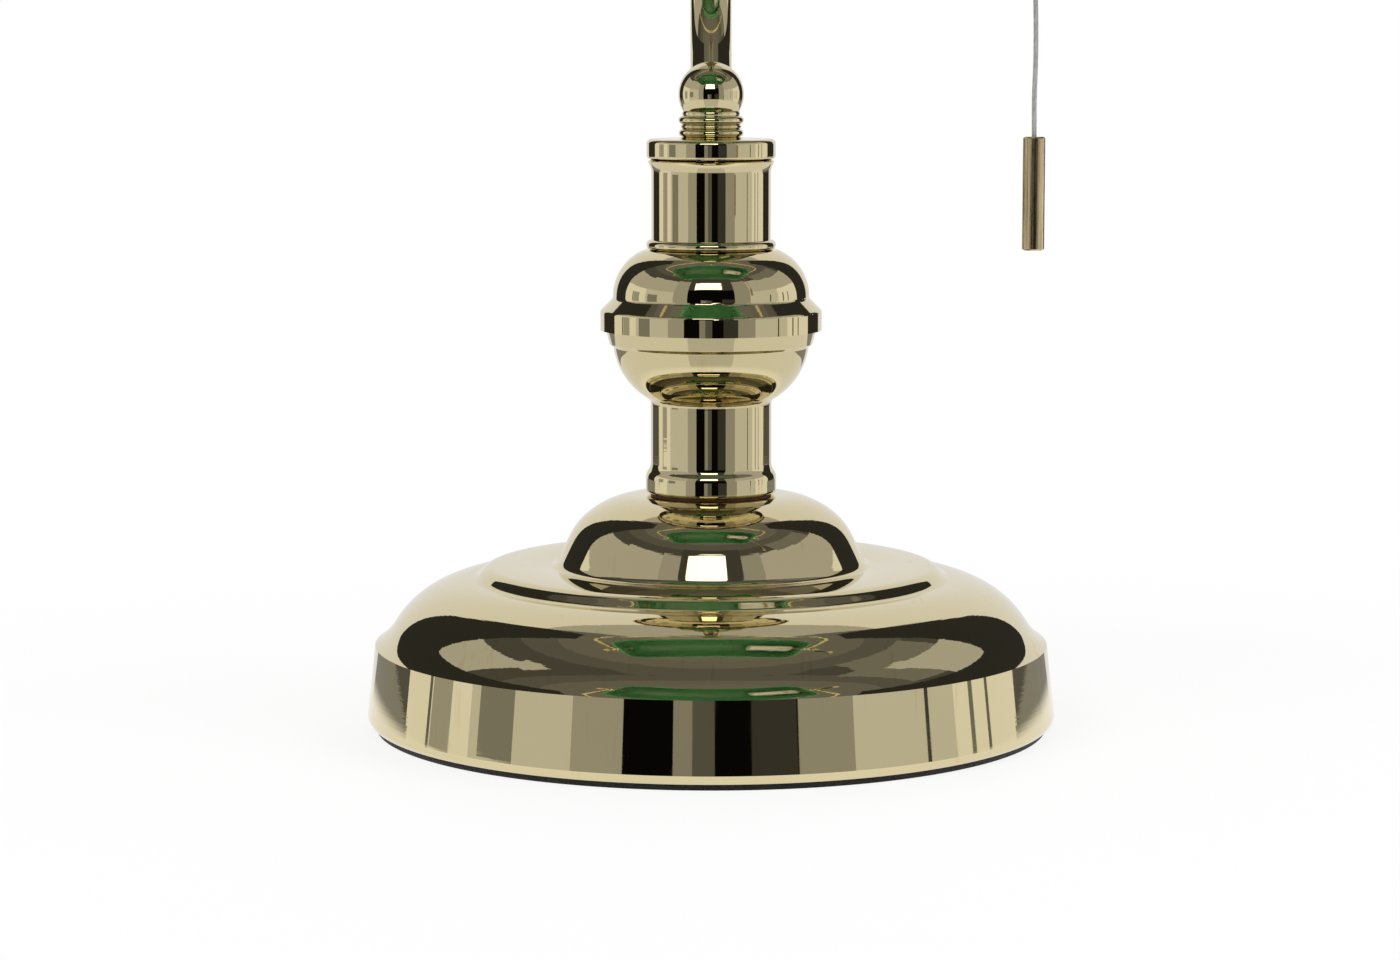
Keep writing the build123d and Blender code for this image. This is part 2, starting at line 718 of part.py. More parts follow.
def shade_form(inset):
    arch = shade_arch_diameter / 2 - inset
    mouth = shade_mouth_width / 2 - inset
    corner = shade_corner - inset
    with BuildPart(mode=Mode.PRIVATE) as form:
        with BuildSketch(Plane(origin=(0, pivot_y, mouth_level), x_dir=(0, 1, 0), z_dir=(1, 0, 0))):
            with BuildLine():
                back = TangentArc((arch, shade_skirt), (mouth, 0), tangent=(0, -1))
                front = TangentArc((-arch, shade_skirt), (-mouth, 0), tangent=(0, -1))
                ThreePointArc((-arch, shade_skirt), (0, shade_skirt + arch), (arch, shade_skirt))
                Line(back @ 1, front @ 1)
            make_face()
        extrude(amount=shade_end - inset, both=True)
        ends = form.edges().group_by(Axis.X)
        mouth_edges = form.edges().group_by(Axis.Z)[0]
        fillet([edge for edge in ends[0] + ends[-1] if edge not in mouth_edges], corner)
    return form.part


# Shade: an arched glass shell with rounded ends, flared along its front and back edges
with BuildPart() as shade_glass:
    add(shade_form(0))
    add(shade_form(shade_wall), mode=Mode.SUBTRACT)
    with BuildSketch(end_plane(1, -shade_length)):
        Circle(ferrule_diameter / 2 + slip)
    extrude(amount=2 * shade_length, mode=Mode.SUBTRACT)
    fillet(shade_glass.edges().group_by(Axis.Z)[0], shade_lip_round)
keep(shade_glass, "shade_glass")

# Hollow nipple that carries the lampholder and is the right-hand pivot
with BuildPart() as pivot_nipple:
    with BuildSketch(end_plane(1, holder_rear - nipple_thread)):
        Circle(pivot_diameter / 2)
    extrude(amount=leg_x - knob_shank - holder_rear + nipple_thread)
    with BuildSketch(end_plane(1, holder_rear)):
        Circle(nipple_collar_diameter / 2)
    extrude(amount=nipple_collar)
    with BuildSketch(end_plane(1, holder_rear - nipple_thread)):
        Circle(nipple_bore / 2)
    extrude(amount=leg_x, mode=Mode.SUBTRACT)
keep(pivot_nipple, "pivot_nipple")

with BuildPart() as nipple_nut:
    with BuildSketch(end_plane(1, holder_rear - sheet - nipple_nut_height)):
        RegularPolygon(nipple_nut_width / 2, 6, major_radius=False)
        Circle(pivot_diameter / 2 + slip, mode=Mode.SUBTRACT)
    extrude(amount=nipple_nut_height)
keep(nipple_nut, "nipple_nut")

# Lampholder: spun cap and shell, porcelain core, screw shell, contact and the switch block
with BuildPart() as holder_cap:
    with BuildSketch(out_plane(1)):
        with BuildLine():
            back = Line((holder_rear, pivot_diameter / 2 + slip), (holder_rear, holder_boss_diameter / 2))
            dome = TangentArc((holder_rear - holder_cap_dome, holder_cap_diameter / 2), back @ 1, tangent=(1, 0))
            Line(dome @ 0, (cap_front, holder_cap_diameter / 2))
            offset(amount=sheet, side=Side.LEFT)
        make_face()
    revolve(axis=tilt_axis)
    with BuildSketch(Plane(origin=(cord_offset, pivot_y, nozzle_bottom), z_dir=(0, 0, 1))):
        Circle(nozzle_stem_diameter / 2 + slip)
    extrude(amount=holder_cap_diameter / 2, mode=Mode.SUBTRACT)
keep(holder_cap, "holder_cap")

with BuildPart() as holder_shell:
    with BuildSketch(out_plane(1)):
        with BuildLine():
            side_line = Line((shell_rear, shell_radius), (shell_front + 2 * holder_mouth_flare, shell_radius))
            TangentArc(side_line @ 1, (shell_front, shell_radius + holder_mouth_flare), tangent=side_line % 1)
            offset(amount=sheet, side=Side.LEFT)
        make_face()
    revolve(axis=tilt_axis)
keep(holder_shell, "holder_shell")

core_radius = shell_radius - sheet - slip
with BuildPart() as holder_core:
    with BuildSketch(end_plane(1, core_front)):
        Circle(core_radius)
    extrude(amount=shell_rear - core_front)
    with BuildSketch(end_plane(1, core_front)):
        Circle(core_radius - core_wall)
    extrude(amount=shell_floor - core_front, mode=Mode.SUBTRACT)
    with BuildSketch(end_plane(1, shell_floor)):
        Circle(contact_diameter / 2 + slip)
    extrude(amount=contact_height - screw_shell_wall, mode=Mode.SUBTRACT)
keep(holder_core, "holder_core")

with BuildPart() as screw_shell:
    with BuildSketch(end_plane(1, shell_floor - screw_shell_wall)):
        Circle(core_radius - core_wall - slip)
        Circle(screw_shell_opening / 2, mode=Mode.SUBTRACT)
    extrude(amount=screw_shell_wall)
    with BuildSketch(end_plane(1, shell_floor - screw_shell_length)):
        Circle(screw_shell_bore / 2 + screw_shell_wall)
        Circle(screw_shell_bore / 2, mode=Mode.SUBTRACT)
    extrude(amount=screw_shell_length)
keep(screw_shell, "screw_shell")

with BuildPart() as centre_contact:
    with BuildSketch(end_plane(1, contact_face)):
        Circle(contact_diameter / 2)
    extrude(amount=contact_height)
    fillet(centre_contact.edges().group_by(Axis.X)[0], contact_height / 3)
keep(centre_contact, "centre_contact")

with BuildPart() as switch_block:
    with BuildSketch(end_plane(1, shell_rear)):
        Circle(holder_cap_diameter / 2 - sheet - slip)
    extrude(amount=switch_length)
    with BuildSketch(Plane(origin=(cord_offset, pivot_y, nozzle_bottom), z_dir=(0, 0, 1))):
        Circle(plunger_diameter / 2 + run_fit)
    extrude(amount=plunger_top + air - nozzle_bottom, mode=Mode.SUBTRACT)
keep(switch_block, "switch_block")

# Pull switch: nozzle, plunger, cord and the small brass weight on its end
with BuildPart() as cord_nozzle:
    with BuildSketch(Plane(origin=(cord_offset, pivot_y, nozzle_bottom), z_dir=(0, 0, 1))):
        Circle(nozzle_flange_diameter / 2)
    extrude(amount=nozzle_length - slip)
    fillet(cord_nozzle.edges().group_by(Axis.Z)[0], nozzle_mouth)
    with BuildSketch(Plane(origin=(cord_offset, pivot_y, nozzle_bottom), z_dir=(0, 0, 1))):
        Circle(nozzle_stem_diameter / 2)
    extrude(amount=nozzle_length + sheet)
    with BuildSketch(Plane(origin=(cord_offset, pivot_y, nozzle_bottom), z_dir=(0, 0, 1))):
        Circle(nozzle_bore / 2)
    extrude(amount=nozzle_length + sheet + overrun, mode=Mode.SUBTRACT)
    chamfer(cord_nozzle.edges().group_by(Axis.Z)[0].sort_by(SortBy.LENGTH)[0], nozzle_mouth / 2)
keep(cord_nozzle, "cord_nozzle")

plunger_bottom = plunger_top - plunger_length
with BuildPart() as pull_plunger:
    with BuildSketch(Plane(origin=(cord_offset, pivot_y, plunger_bottom), z_dir=(0, 0, 1))):
        Circle(plunger_diameter / 2)
    extrude(amount=plunger_length)
    with BuildSketch(Plane(origin=(cord_offset, pivot_y, plunger_bottom), z_dir=(0, 0, 1))):
        Circle(cord_diameter / 2 + slip)
    extrude(amount=cord_grip, mode=Mode.SUBTRACT)
keep(pull_plunger, "pull_plunger")

# Cord from the plunger down into the weight, with the slight waves it has in the photo
cord_top = plunger_bottom + cord_grip - air
cord_drop = cord_top - pull_top + cord_grip - air
cord_points = []
for sway_share, drop_share in cord_shares:
    cord_points.append(Vector(cord_offset + sway_share * cord_diameter, pivot_y, cord_top - drop_share * cord_drop))
cord_radii = []
for before, corner, after in zip(cord_points, cord_points[1:], cord_points[2:]):
    turn = (corner - before).get_angle(after - corner)
    shorter = min((corner - before).length, (after - corner).length)
    cord_radii.append(bend_share * shorter / tan(radians(turn / 2)))
with BuildPart() as pull_cord:
    with BuildLine() as cord_path:
        FilletPolyline(*cord_points, radius=cord_radii)
    with BuildSketch(Plane(origin=cord_path.line @ 0, z_dir=cord_path.line % 0)) as cord_section:
        Circle(cord_diameter / 2)
    sweep(path=cord_path.line)
keep(pull_cord, "pull_cord")
cord_length = cord_path.wires()[0].length
print("cord points", [(round(point.X, 2), round(point.Z, 2)) for point in cord_points])
print("cord radii", [round(radius, 1) for radius in cord_radii])
print("cord volume share", pull_cord.part.volume / (cord_section.sketch.area * cord_length))

with BuildPart() as pull_weight:
    with BuildSketch(Plane(origin=(cord_offset, pivot_y, pull_top - pull_length), z_dir=(0, 0, 1))):
        Circle(pull_diameter / 2)
    extrude(amount=pull_length)
    chamfer(pull_weight.edges().filter_by(GeomType.CIRCLE), pull_edge)
    with BuildSketch(Plane(origin=(cord_offset, pivot_y, pull_top), z_dir=(0, 0, -1))):
        Circle(cord_diameter / 2 + slip)
    extrude(amount=cord_grip, mode=Mode.SUBTRACT)
keep(pull_weight, "pull_weight")
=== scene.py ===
import bmesh
import bpy
import json
import math
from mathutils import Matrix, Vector


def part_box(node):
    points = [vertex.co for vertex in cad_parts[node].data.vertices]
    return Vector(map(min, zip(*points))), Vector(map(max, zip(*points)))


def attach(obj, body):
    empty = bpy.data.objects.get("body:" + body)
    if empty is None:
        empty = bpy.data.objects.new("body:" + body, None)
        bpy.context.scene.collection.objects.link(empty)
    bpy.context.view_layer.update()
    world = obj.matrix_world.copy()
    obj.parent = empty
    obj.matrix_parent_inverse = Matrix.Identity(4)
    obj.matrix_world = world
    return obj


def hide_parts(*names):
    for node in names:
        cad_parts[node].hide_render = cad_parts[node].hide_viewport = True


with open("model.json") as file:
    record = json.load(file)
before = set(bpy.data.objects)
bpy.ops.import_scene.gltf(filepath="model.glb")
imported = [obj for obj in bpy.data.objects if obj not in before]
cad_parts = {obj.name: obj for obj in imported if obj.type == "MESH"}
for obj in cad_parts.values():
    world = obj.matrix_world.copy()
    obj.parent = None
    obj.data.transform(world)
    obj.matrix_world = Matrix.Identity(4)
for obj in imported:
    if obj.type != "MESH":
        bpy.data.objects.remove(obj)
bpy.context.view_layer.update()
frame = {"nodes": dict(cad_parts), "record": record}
nodes = frame["nodes"]
print("frame loaded:", len(nodes), "nodes")

scene = bpy.context.scene
scene.view_settings.view_transform = "Standard"

cameraSet = {  # stands where the photograph was taken from
    "place": (-0.0032, -1.05, 0.2),
    "target": (-0.0032, 0.0, 0.07142),
    "lens": 93.63,
    "sensor": 36.0,
}


def placeAndAim(thing, place, target):
    scene.collection.objects.link(thing)
    thing.location = place
    aim = Vector(target) - Vector(place)
    thing.rotation_euler = aim.to_track_quat("-Z", "Y").to_euler()


def makeCamera(use):
    data = bpy.data.cameras.new("lampCamera")
    data.lens = use["lens"]
    data.sensor_width = use["sensor"]
    camera = bpy.data.objects.new("lampCamera", data)
    placeAndAim(camera, use["place"], use["target"])
    scene.camera = camera


makeCamera(cameraSet)
print("camera set")


def addNode(tree, kind, **values):
    node = tree.nodes.new(kind)
    for key, value in values.items():
        setattr(node, key, value)
    return node


def setSockets(node, values):
    for key, value in values.items():
        node.inputs[key].default_value = value


def link(tree, source, target):
    tree.links.new(source, target)


def combine(tree, operation, first, second):
    node = addNode(tree, "ShaderNodeMath", operation=operation)
    link(tree, first, node.inputs[0])
    link(tree, second, node.inputs[1])
    return node.outputs[0]


def newMaterial(name):
    material = bpy.data.materials.new(name)
    material.use_nodes = True
    return material, material.node_tree


def newGroup(name, inputs, outputs):
    group = bpy.data.node_groups.new(name, "ShaderNodeTree")
    for label, kind, value in inputs:
        socket = group.interface.new_socket(name=label, in_out="INPUT", socket_type=kind)
        socket.default_value = value
    for label in outputs:
        group.interface.new_socket(name=label, in_out="OUTPUT", socket_type="NodeSocketFloat")
    entry = group.nodes.new("NodeGroupInput")
    leave = group.nodes.new("NodeGroupOutput")
    return group, entry, leave


def placeGroup(tree, group, values):
    node = addNode(tree, "ShaderNodeGroup", node_tree=group)
    setSockets(node, values)
    return node


def makeSpunGroup():
    # faint rings that the spinning tool leaves, plus slow waves in the sheet
    group, entry, leave = newGroup(
        "spunRings",
        [
            ("Ring Pitch", "NodeSocketFloat", 0.0016),
            ("Ring Depth", "NodeSocketFloat", 0.5),
            ("Wave Depth", "NodeSocketFloat", 1.0),
        ],
        ["Height"],
    )
    place = addNode(group, "ShaderNodeTexCoord")
    split = addNode(group, "ShaderNodeSeparateXYZ")
    link(group, place.outputs["Object"], split.inputs[0])
    flat = addNode(group, "ShaderNodeCombineXYZ")
    link(group, split.outputs["X"], flat.inputs["X"])
    link(group, split.outputs["Y"], flat.inputs["Y"])
    radius = addNode(group, "ShaderNodeVectorMath", operation="LENGTH")
    link(group, flat.outputs[0], radius.inputs[0])
    along = combine(group, "SUBTRACT", split.outputs["Z"], radius.outputs["Value"])
    rings = addNode(group, "ShaderNodeTexNoise", noise_dimensions="1D")
    setSockets(rings, {"Scale": 1.0, "Detail": 3.0, "Roughness": 0.6})
    link(group, combine(group, "DIVIDE", along, entry.outputs["Ring Pitch"]), rings.inputs["W"])
    waves = addNode(group, "ShaderNodeTexNoise")
    setSockets(waves, {"Scale": 26.0, "Detail": 1.0, "Roughness": 0.4})
    link(group, place.outputs["Object"], waves.inputs["Vector"])
    ringHeight = combine(group, "MULTIPLY", rings.outputs["Fac"], entry.outputs["Ring Depth"])
    waveHeight = combine(group, "MULTIPLY", waves.outputs["Fac"], entry.outputs["Wave Depth"])
    link(group, combine(group, "ADD", ringHeight, waveHeight), leave.inputs["Height"])
    return group


def makeHandledGroup():
    # smears and hairlines that handling leaves on a finish, and a slow cloud of tint
    group, entry, leave = newGroup(
        "handled",
        [
            ("Smear Scale", "NodeSocketFloat", 35.0),
            ("Hairline Scale", "NodeSocketFloat", 260.0),
        ],
        ["Smears", "Hairlines", "Cloud"],
    )
    place = addNode(group, "ShaderNodeTexCoord")
    smears = addNode(group, "ShaderNodeTexNoise")
    setSockets(smears, {"Detail": 6.0, "Roughness": 0.62, "Distortion": 0.8})
    link(group, place.outputs["Object"], smears.inputs["Vector"])
    link(group, entry.outputs["Smear Scale"], smears.inputs["Scale"])
    smearCut = addNode(group, "ShaderNodeMapRange")
    setSockets(smearCut, {"From Min": 0.48, "From Max": 0.72})
    link(group, smears.outputs["Fac"], smearCut.inputs["Value"])
    stretch = addNode(group, "ShaderNodeMapping")
    setSockets(stretch, {"Scale": (1.0, 0.35, 0.06), "Rotation": (0.5, 0.9, 0.3)})
    link(group, place.outputs["Object"], stretch.inputs["Vector"])
    hair = addNode(group, "ShaderNodeTexNoise")
    setSockets(hair, {"Detail": 2.0, "Roughness": 0.7})
    link(group, stretch.outputs[0], hair.inputs["Vector"])
    link(group, entry.outputs["Hairline Scale"], hair.inputs["Scale"])
    hairCut = addNode(group, "ShaderNodeMapRange")
    setSockets(hairCut, {"From Min": 0.64, "From Max": 0.72})
    link(group, hair.outputs["Fac"], hairCut.inputs["Value"])
    cloud = addNode(group, "ShaderNodeTexNoise")
    setSockets(cloud, {"Scale": 12.0, "Detail": 3.0, "Roughness": 0.5})
    link(group, place.outputs["Object"], cloud.inputs["Vector"])
    link(group, smearCut.outputs[0], leave.inputs["Smears"])
    link(group, hairCut.outputs[0], leave.inputs["Hairlines"])
    link(group, cloud.outputs["Fac"], leave.inputs["Cloud"])
    return group


def makeGrainGroup():
    # fine surface grain, stretched one way for brushing, felting or weaving
    group, entry, leave = newGroup(
        "grain",
        [
            ("Scale", "NodeSocketFloat", 900.0),
            ("Stretch", "NodeSocketVector", (1.0, 1.0, 1.0)),
            ("Detail", "NodeSocketFloat", 4.0),
        ],
        ["Height", "Mask"],
    )
    place = addNode(group, "ShaderNodeTexCoord")
    stretch = addNode(group, "ShaderNodeVectorMath", operation="MULTIPLY")
    link(group, place.outputs["Object"], stretch.inputs[0])
    link(group, entry.outputs["Stretch"], stretch.inputs[1])
    grain = addNode(group, "ShaderNodeTexNoise")
    setSockets(grain, {"Roughness": 0.6})
    link(group, stretch.outputs[0], grain.inputs["Vector"])
    link(group, entry.outputs["Scale"], grain.inputs["Scale"])
    link(group, entry.outputs["Detail"], grain.inputs["Detail"])
    cut = addNode(group, "ShaderNodeMapRange")
    setSockets(cut, {"From Min": 0.35, "From Max": 0.65})
    link(group, grain.outputs["Fac"], cut.inputs["Value"])
    link(group, grain.outputs["Fac"], leave.inputs["Height"])
    link(group, cut.outputs[0], leave.inputs["Mask"])
    return group


spunRings = makeSpunGroup()
handled = makeHandledGroup()
grainGroup = makeGrainGroup()
print("shared effects made")

finishSet = {  # a grain has a scale and a stretch, rings have a pitch
    "polished_brass": {
        "low": (0.68, 0.585, 0.34, 1),
        "high": (0.75, 0.66, 0.415, 1),
        "mark": (0.6, 0.47, 0.22, 1),
        "rough": (0.015, 0.06),
        "relief": "rings",
        "pitch": 0.0016,
        "bump": 0.012,
        "sockets": {"Metallic": 1.0},
    },
    "plain_brass": {
        "low": (0.55, 0.4, 0.17, 1),
        "high": (0.7, 0.55, 0.28, 1),
        "mark": (0.36, 0.24, 0.09, 1),
        "rough": (0.2, 0.36),
        "relief": "rings",
        "pitch": 0.00035,
        "bump": 0.08,
        "sockets": {"Metallic": 1.0},
    },
    "aged_brass": {
        "low": (0.45, 0.34, 0.18, 1),
        "high": (0.78, 0.64, 0.4, 1),
        "mark": (0.2, 0.13, 0.06, 1),
        "rough": (0.16, 0.3),
        "relief": "grain",
        "grain": (900.0, (1.0, 1.0, 0.03)),
        "bump": 0.12,
        "sockets": {"Metallic": 1.0},
    },
    "steel": {
        "low": (0.46, 0.47, 0.47, 1),
        "high": (0.64, 0.64, 0.62, 1),
        "mark": (0.3, 0.27, 0.22, 1),
        "rough": (0.24, 0.42),
        "relief": "grain",
        "grain": (700.0, (1.0, 0.2, 1.0)),
        "bump": 0.06,
        "sockets": {"Metallic": 1.0},
    },
    "cast_iron": {
        "low": (0.02, 0.02, 0.022, 1),
        "high": (0.06, 0.058, 0.055, 1),
        "mark": (0.12, 0.06, 0.03, 1),
        "rough": (0.5, 0.75),
        "relief": "grain",
        "grain": (500.0, (1.0, 1.0, 1.0)),
        "bump": 0.35,
        "sockets": {"Metallic": 0.2},
    },
    "felt": {
        "low": (0.004, 0.004, 0.005, 1),
        "high": (0.018, 0.018, 0.02, 1),
        "mark": (0.035, 0.035, 0.037, 1),
        "rough": (0.85, 0.98),
        "relief": "grain",
        "grain": (1500.0, (1.0, 1.0, 1.0)),
        "bump": 0.6,
        "sockets": {"Sheen Weight": 0.2},
    },
    "cord": {
        "low": (0.29, 0.285, 0.265, 1),
        "high": (0.44, 0.43, 0.41, 1),
        "mark": (0.24, 0.23, 0.21, 1),
        "rough": (0.65, 0.85),
        "relief": "grain",
        "grain": (2600.0, (1.0, 1.0, 0.25)),
        "bump": 0.3,
        "sockets": {},
    },
    "fibre": {
        "low": (0.09, 0.028, 0.014, 1),
        "high": (0.17, 0.06, 0.028, 1),
        "mark": (0.05, 0.018, 0.01, 1),
        "rough": (0.5, 0.7),
        "relief": "grain",
        "grain": (1200.0, (1.0, 1.0, 0.3)),
        "bump": 0.2,
        "sockets": {},
    },
    "black_plastic": {
        "low": (0.008, 0.008, 0.009, 1),
        "high": (0.018, 0.018, 0.019, 1),
        "mark": (0.05, 0.05, 0.05, 1),
        "rough": (0.32, 0.52),
        "relief": "grain",
        "grain": (1400.0, (1.0, 1.0, 1.0)),
        "bump": 0.12,
        "sockets": {},
    },
    "porcelain": {
        "low": (0.74, 0.71, 0.64, 1),
        "high": (0.82, 0.8, 0.75, 1),
        "mark": (0.55, 0.5, 0.42, 1),
        "rough": (0.1, 0.22),
        "relief": "grain",
        "grain": (160.0, (1.0, 1.0, 1.0)),
        "bump": 0.06,
        "sockets": {"Coat Weight": 0.6},
    },
    "white_plastic": {
        "low": (0.74, 0.73, 0.69, 1),
        "high": (0.82, 0.815, 0.79, 1),
        "mark": (0.62, 0.6, 0.54, 1),
        "rough": (0.16, 0.32),
        "relief": "grain",
        "grain": (300.0, (1.0, 1.0, 1.0)),
        "bump": 0.03,
        "sockets": {},
    },
    "green_glass": {
        "low": (0.075, 0.255, 0.11, 1),
        "high": (0.1, 0.31, 0.145, 1),
        "mark": (0.13, 0.36, 0.19, 1),
        "rough": (0.025, 0.09),
        "relief": "grain",
        "grain": (18.0, (0.4, 1.0, 1.0)),
        "bump": 0.06,
        "sockets": {"IOR": 1.52, "Coat Weight": 0.4},
    },
}
markSet = {
    "smears": {"Smear Scale": 35.0, "Hairline Scale": 260.0},
    "rings": {"Ring Depth": 0.5, "Wave Depth": 1.0},
    "hairlineShare": 0.35,
    "bumpDistance": 0.001,
}
mixFirst, mixSecond, mixResult = 6, 7, 2  # a mix node's colour sockets, which share their names


def makeFinish(name, use):
    material, tree = newMaterial(name)
    shader = tree.nodes["Principled BSDF"]
    setSockets(shader, use["sockets"])
    marks = placeGroup(tree, handled, markSet["smears"])
    tint = addNode(tree, "ShaderNodeMix", data_type="RGBA")
    setSockets(tint, {mixFirst: use["low"], mixSecond: use["high"]})
    worn = addNode(tree, "ShaderNodeMix", data_type="RGBA")
    setSockets(worn, {mixSecond: use["mark"]})
    share = addNode(tree, "ShaderNodeMath", operation="MULTIPLY")
    setSockets(share, {1: markSet["hairlineShare"]})
    link(tree, marks.outputs["Hairlines"], share.inputs[0])
    link(tree, share.outputs[0], worn.inputs["Factor"])
    link(tree, tint.outputs[mixResult], worn.inputs[mixFirst])
    link(tree, worn.outputs[mixResult], shader.inputs["Base Color"])
    rough = addNode(tree, "ShaderNodeMapRange")
    setSockets(rough, {"To Min": use["rough"][0], "To Max": use["rough"][1]})
    link(tree, marks.outputs["Smears"], rough.inputs["Value"])
    link(tree, rough.outputs[0], shader.inputs["Roughness"])
    if use["relief"] == "rings":
        relief = placeGroup(tree, spunRings, {"Ring Pitch": use["pitch"], **markSet["rings"]})
        link(tree, marks.outputs["Cloud"], tint.inputs["Factor"])
    else:
        scale, stretch = use["grain"]
        relief = placeGroup(tree, grainGroup, {"Scale": scale, "Stretch": stretch})
        link(tree, relief.outputs["Mask"], tint.inputs["Factor"])
    bump = addNode(tree, "ShaderNodeBump")
    setSockets(bump, {"Strength": use["bump"], "Distance": markSet["bumpDistance"]})
    link(tree, relief.outputs["Height"], bump.inputs["Height"])
    link(tree, bump.outputs[0], shader.inputs["Normal"])
    return material


finishes = {name: makeFinish(name, use) for name, use in finishSet.items()}
slotOf = {entry["node"]: entry["material_slot"] for entry in frame["record"]["subparts"]}
for name, piece in nodes.items():
    piece.data.materials.clear()
    piece.data.materials.append(finishes[slotOf[name]])
print("finishes made")

# the base, spun from one sheet and drawn outwards from its seat under the column
shellSet = {
    "hole": 0.0052,
    "seat": (0.02013, 0.0674),  # radius and height
    # each run has a length and the slope that it ends at, in degrees below level
    "smallDome": [(0.017964, 41), (0.004231, 55), (0.002985, 62.5), (0.0076, 66.5)],
    "cove": [(0.0012, 50), (0.0022, -4.12)],
    "tier": [(0.0166, 4.12), (0.00342, 44.8), (0.001671, 44.8), (0.002294, 3.74)],
    "dome": [(0.010706, 24.6), (0.01635, 58.6)],
    "shoulder": [(0.00807, 32.4)],
    "rimSlope": 83.3,
    "rimLength": 0.02,
    "roll": [(0.004726, 180)],
    "wall": 0.001,
    "sides": 240,
    "sharp": 30.0,
    "outerTurn": 2.5,  # most degrees between two points of the outer face, then of the inner one
    "innerTurn": 8.0,
    "longest": 0.0012,
    "leadHole": (0.0125, 0.0054),  # its height and radius in the back of the rim, under the bush
}


def runPoints(runs, place, slope, turnStep, longest):
    radius, height = place
    points = []
    for length, ending in runs:
        turn = ending - slope
        count = max(2, math.ceil(abs(turn) / turnStep), math.ceil(length / longest))
        for step in range(count):
            middle = math.radians(slope + turn * (step + 0.5) / count)
            radius += length / count * math.cos(middle)
            height -= length / count * math.sin(middle)
            points.append((radius, height, slope + turn * (step + 1) / count))
        slope = ending
    return points


def behind(radius, height, slope, wall):
    away = math.radians(slope)
    return (radius - wall * math.sin(away), height - wall * math.cos(away))


def shellFace(use, turnStep):
    above = use["smallDome"] + use["cove"] + use["tier"] + use["dome"] + use["shoulder"]
    below = [(use["rimLength"], use["rimSlope"])] + use["roll"]
    upper = [(use["hole"], use["seat"][1], 0.0), (*use["seat"], 0.0)]
    upper += runPoints(above, use["seat"], 0.0, turnStep, use["longest"])
    lower = runPoints(below, upper[-1][:2], use["rimSlope"], turnStep, use["longest"])
    return upper, lower


def shellInside(use):
    # the rim meets the shoulder in an edge, so the inner face has one corner there
    upper, lower = shellFace(use, use["innerTurn"])
    edgeRadius, edgeHeight, lastSlope = upper[-1]
    half = math.radians(use["rimSlope"] - lastSlope) / 2
    lean = (use["rimSlope"] + lastSlope) / 2
    inside = []
    for part in (upper[:-1], lower):
        for radius, height, slope in part:
            if math.hypot(radius - edgeRadius, height - edgeHeight) > use["wall"]:
                inside.append(behind(radius, height, slope, use["wall"]))
        if part is not lower:
            inside.append(behind(edgeRadius, edgeHeight, lean, use["wall"] / math.cos(half)))
    inside[0] = (use["hole"], use["seat"][1] - use["wall"])
    return inside


def openLeadHole(form, level, reach):
    opened = []
    for face in form.faces:
        middle = face.calc_center_median()
        if middle.y > 0 and math.hypot(middle.x, middle.z - level) < reach:
            opened.append(face)
    bmesh.ops.delete(form, geom=opened, context="FACES")
    bmesh.ops.bridge_loops(form, edges=[edge for edge in form.edges if edge.is_boundary])


def spinSheet(name, node, section, use):
    form = bmesh.new()
    sides = use["sides"]
    turns = [2 * math.pi * side / sides for side in range(sides)]
    rings = []
    for radius, height in section:
        places = [(radius * math.sin(turn), radius * math.cos(turn), height) for turn in turns]
        rings.append([form.verts.new(place) for place in places])
    for near, far in zip(rings, rings[1:] + rings[:1]):
        for side in range(sides):
            beside = (side + 1) % sides
            form.faces.new((near[side], near[beside], far[beside], far[side]))
    if "leadHole" in use:
        openLeadHole(form, *use["leadHole"])
    bmesh.ops.recalc_face_normals(form, faces=form.faces)
    mesh = bpy.data.meshes.new(name)
    form.to_mesh(mesh)
    form.free()
    mesh.shade_smooth()
    mesh.set_sharp_from_angle(angle=math.radians(use["sharp"]))
    mesh.materials.append(finishes[slotOf[node]])
    piece = bpy.data.objects.new(name, mesh)
    scene.collection.objects.link(piece)
    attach(piece, "stand")
    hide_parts(node)
    print(name, "spun from", len(section), "points")


def makeBaseShell(use):
    upper, lower = shellFace(use, use["outerTurn"])
    outer = [point[:2] for point in upper + lower]
    spinSheet("baseShell", "base_shell", outer + list(reversed(shellInside(use))), use)


makeBaseShell(shellSet)

bowlSet = {  # the lower bowl, drawn downwards from the edge under the crown's ring
    "edge": 0.03045,
    "edgeSlope": 90.0,
    "band": [(0.0058, 90), (0.0004, 104), (0.004, 105), (0.0009, 165)],
    "belly": [(0.00092, 98), (0.01823, 149.3), (0.00207, 90)],
    "throat": 0.0175,
    "hole": 0.0052,
    "wall": 0.0008,
    "sides": 160,
    "sharp": 30.0,
    "outerTurn": 3.0,
    "innerTurn": 9.0,
    "longest": 0.002,
}


def bowlFace(use, top, turnStep):
    start = (use["edge"], top)
    runs = use["band"] + use["belly"]
    points = runPoints(runs, start, use["edgeSlope"], turnStep, use["longest"])
    return [(*start, use["edgeSlope"])] + points


def makeLowerBowl(use):
    low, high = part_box("lower_bowl")
    bottom, top = low[2], high[2]
    wall = use["wall"]
    outer = [point[:2] for point in bowlFace(use, top, use["outerTurn"])]
    outer += [(use["throat"], bottom), (use["hole"], bottom)]
    inner = [(use["hole"], bottom + wall), (use["throat"] - wall, bottom + wall)]
    for radius, height, slope in reversed(bowlFace(use, top, use["innerTurn"])):
        if height > bottom + 2 * wall:
            inner.append(behind(radius, height, slope, wall))
    spinSheet("lowerBowl", "lower_bowl", outer + inner, use)


makeLowerBowl(bowlSet)

